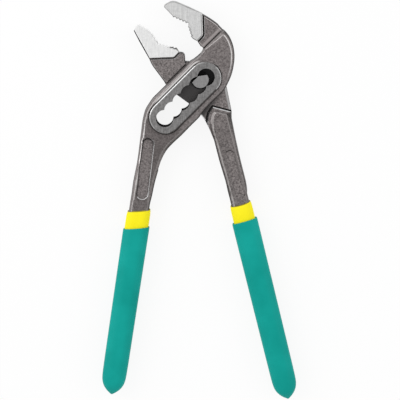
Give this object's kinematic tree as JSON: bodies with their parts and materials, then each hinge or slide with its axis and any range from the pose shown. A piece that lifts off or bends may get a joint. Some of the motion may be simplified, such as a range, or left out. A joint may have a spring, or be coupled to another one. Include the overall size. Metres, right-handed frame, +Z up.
{
  "type": "water pump pliers",
  "caption": "Water pump pliers with a notched box joint, toothed ground jaws and soft dipped handles; the pivot pin slides along the slot to set the jaw opening.",
  "frame": {"origin": "axis of the pivot pin on the plane that the tool lies on", "axes": "+Y from the handles to the jaws, +Z up from the bench through the pivot pin, +X to the side of the pin lever's handle"},
  "size_m": [0.1222, 0.2503, 0.015],
  "materials": {
    "forged_steel": "dark forged skin, ground bright on the jaws and on the faces of the box",
    "pin_steel": "turned and ground",
    "yellow_vinyl": "smooth dip",
    "green_vinyl": "smooth dip with a soft sheen"
  },
  "bodies": {
    "slot_lever_body": {"slot_lever": "forged_steel", "slot_yellow_sleeve": "yellow_vinyl", "slot_green_grip": "green_vinyl"},
    "pin_body": {"pivot_pin": "pin_steel"},
    "pin_lever_body": {"pin_lever": "forged_steel", "pin_yellow_sleeve": "yellow_vinyl", "pin_green_grip": "green_vinyl"}
  },
  "joints": [
    {"name": "slot_slide", "type": "slide", "parent": "slot_lever_body", "child": "pin_body", "axis": [-0.7071, -0.7071, 0], "range_m": [-0.0035, 0.0313]},
    {"name": "jaw_pivot", "type": "hinge", "parent": "pin_body", "child": "pin_lever_body", "pos_m": [0, 0, 0], "axis": [0, 0, 1], "range_deg": [-16.75, 0]}
  ]
}
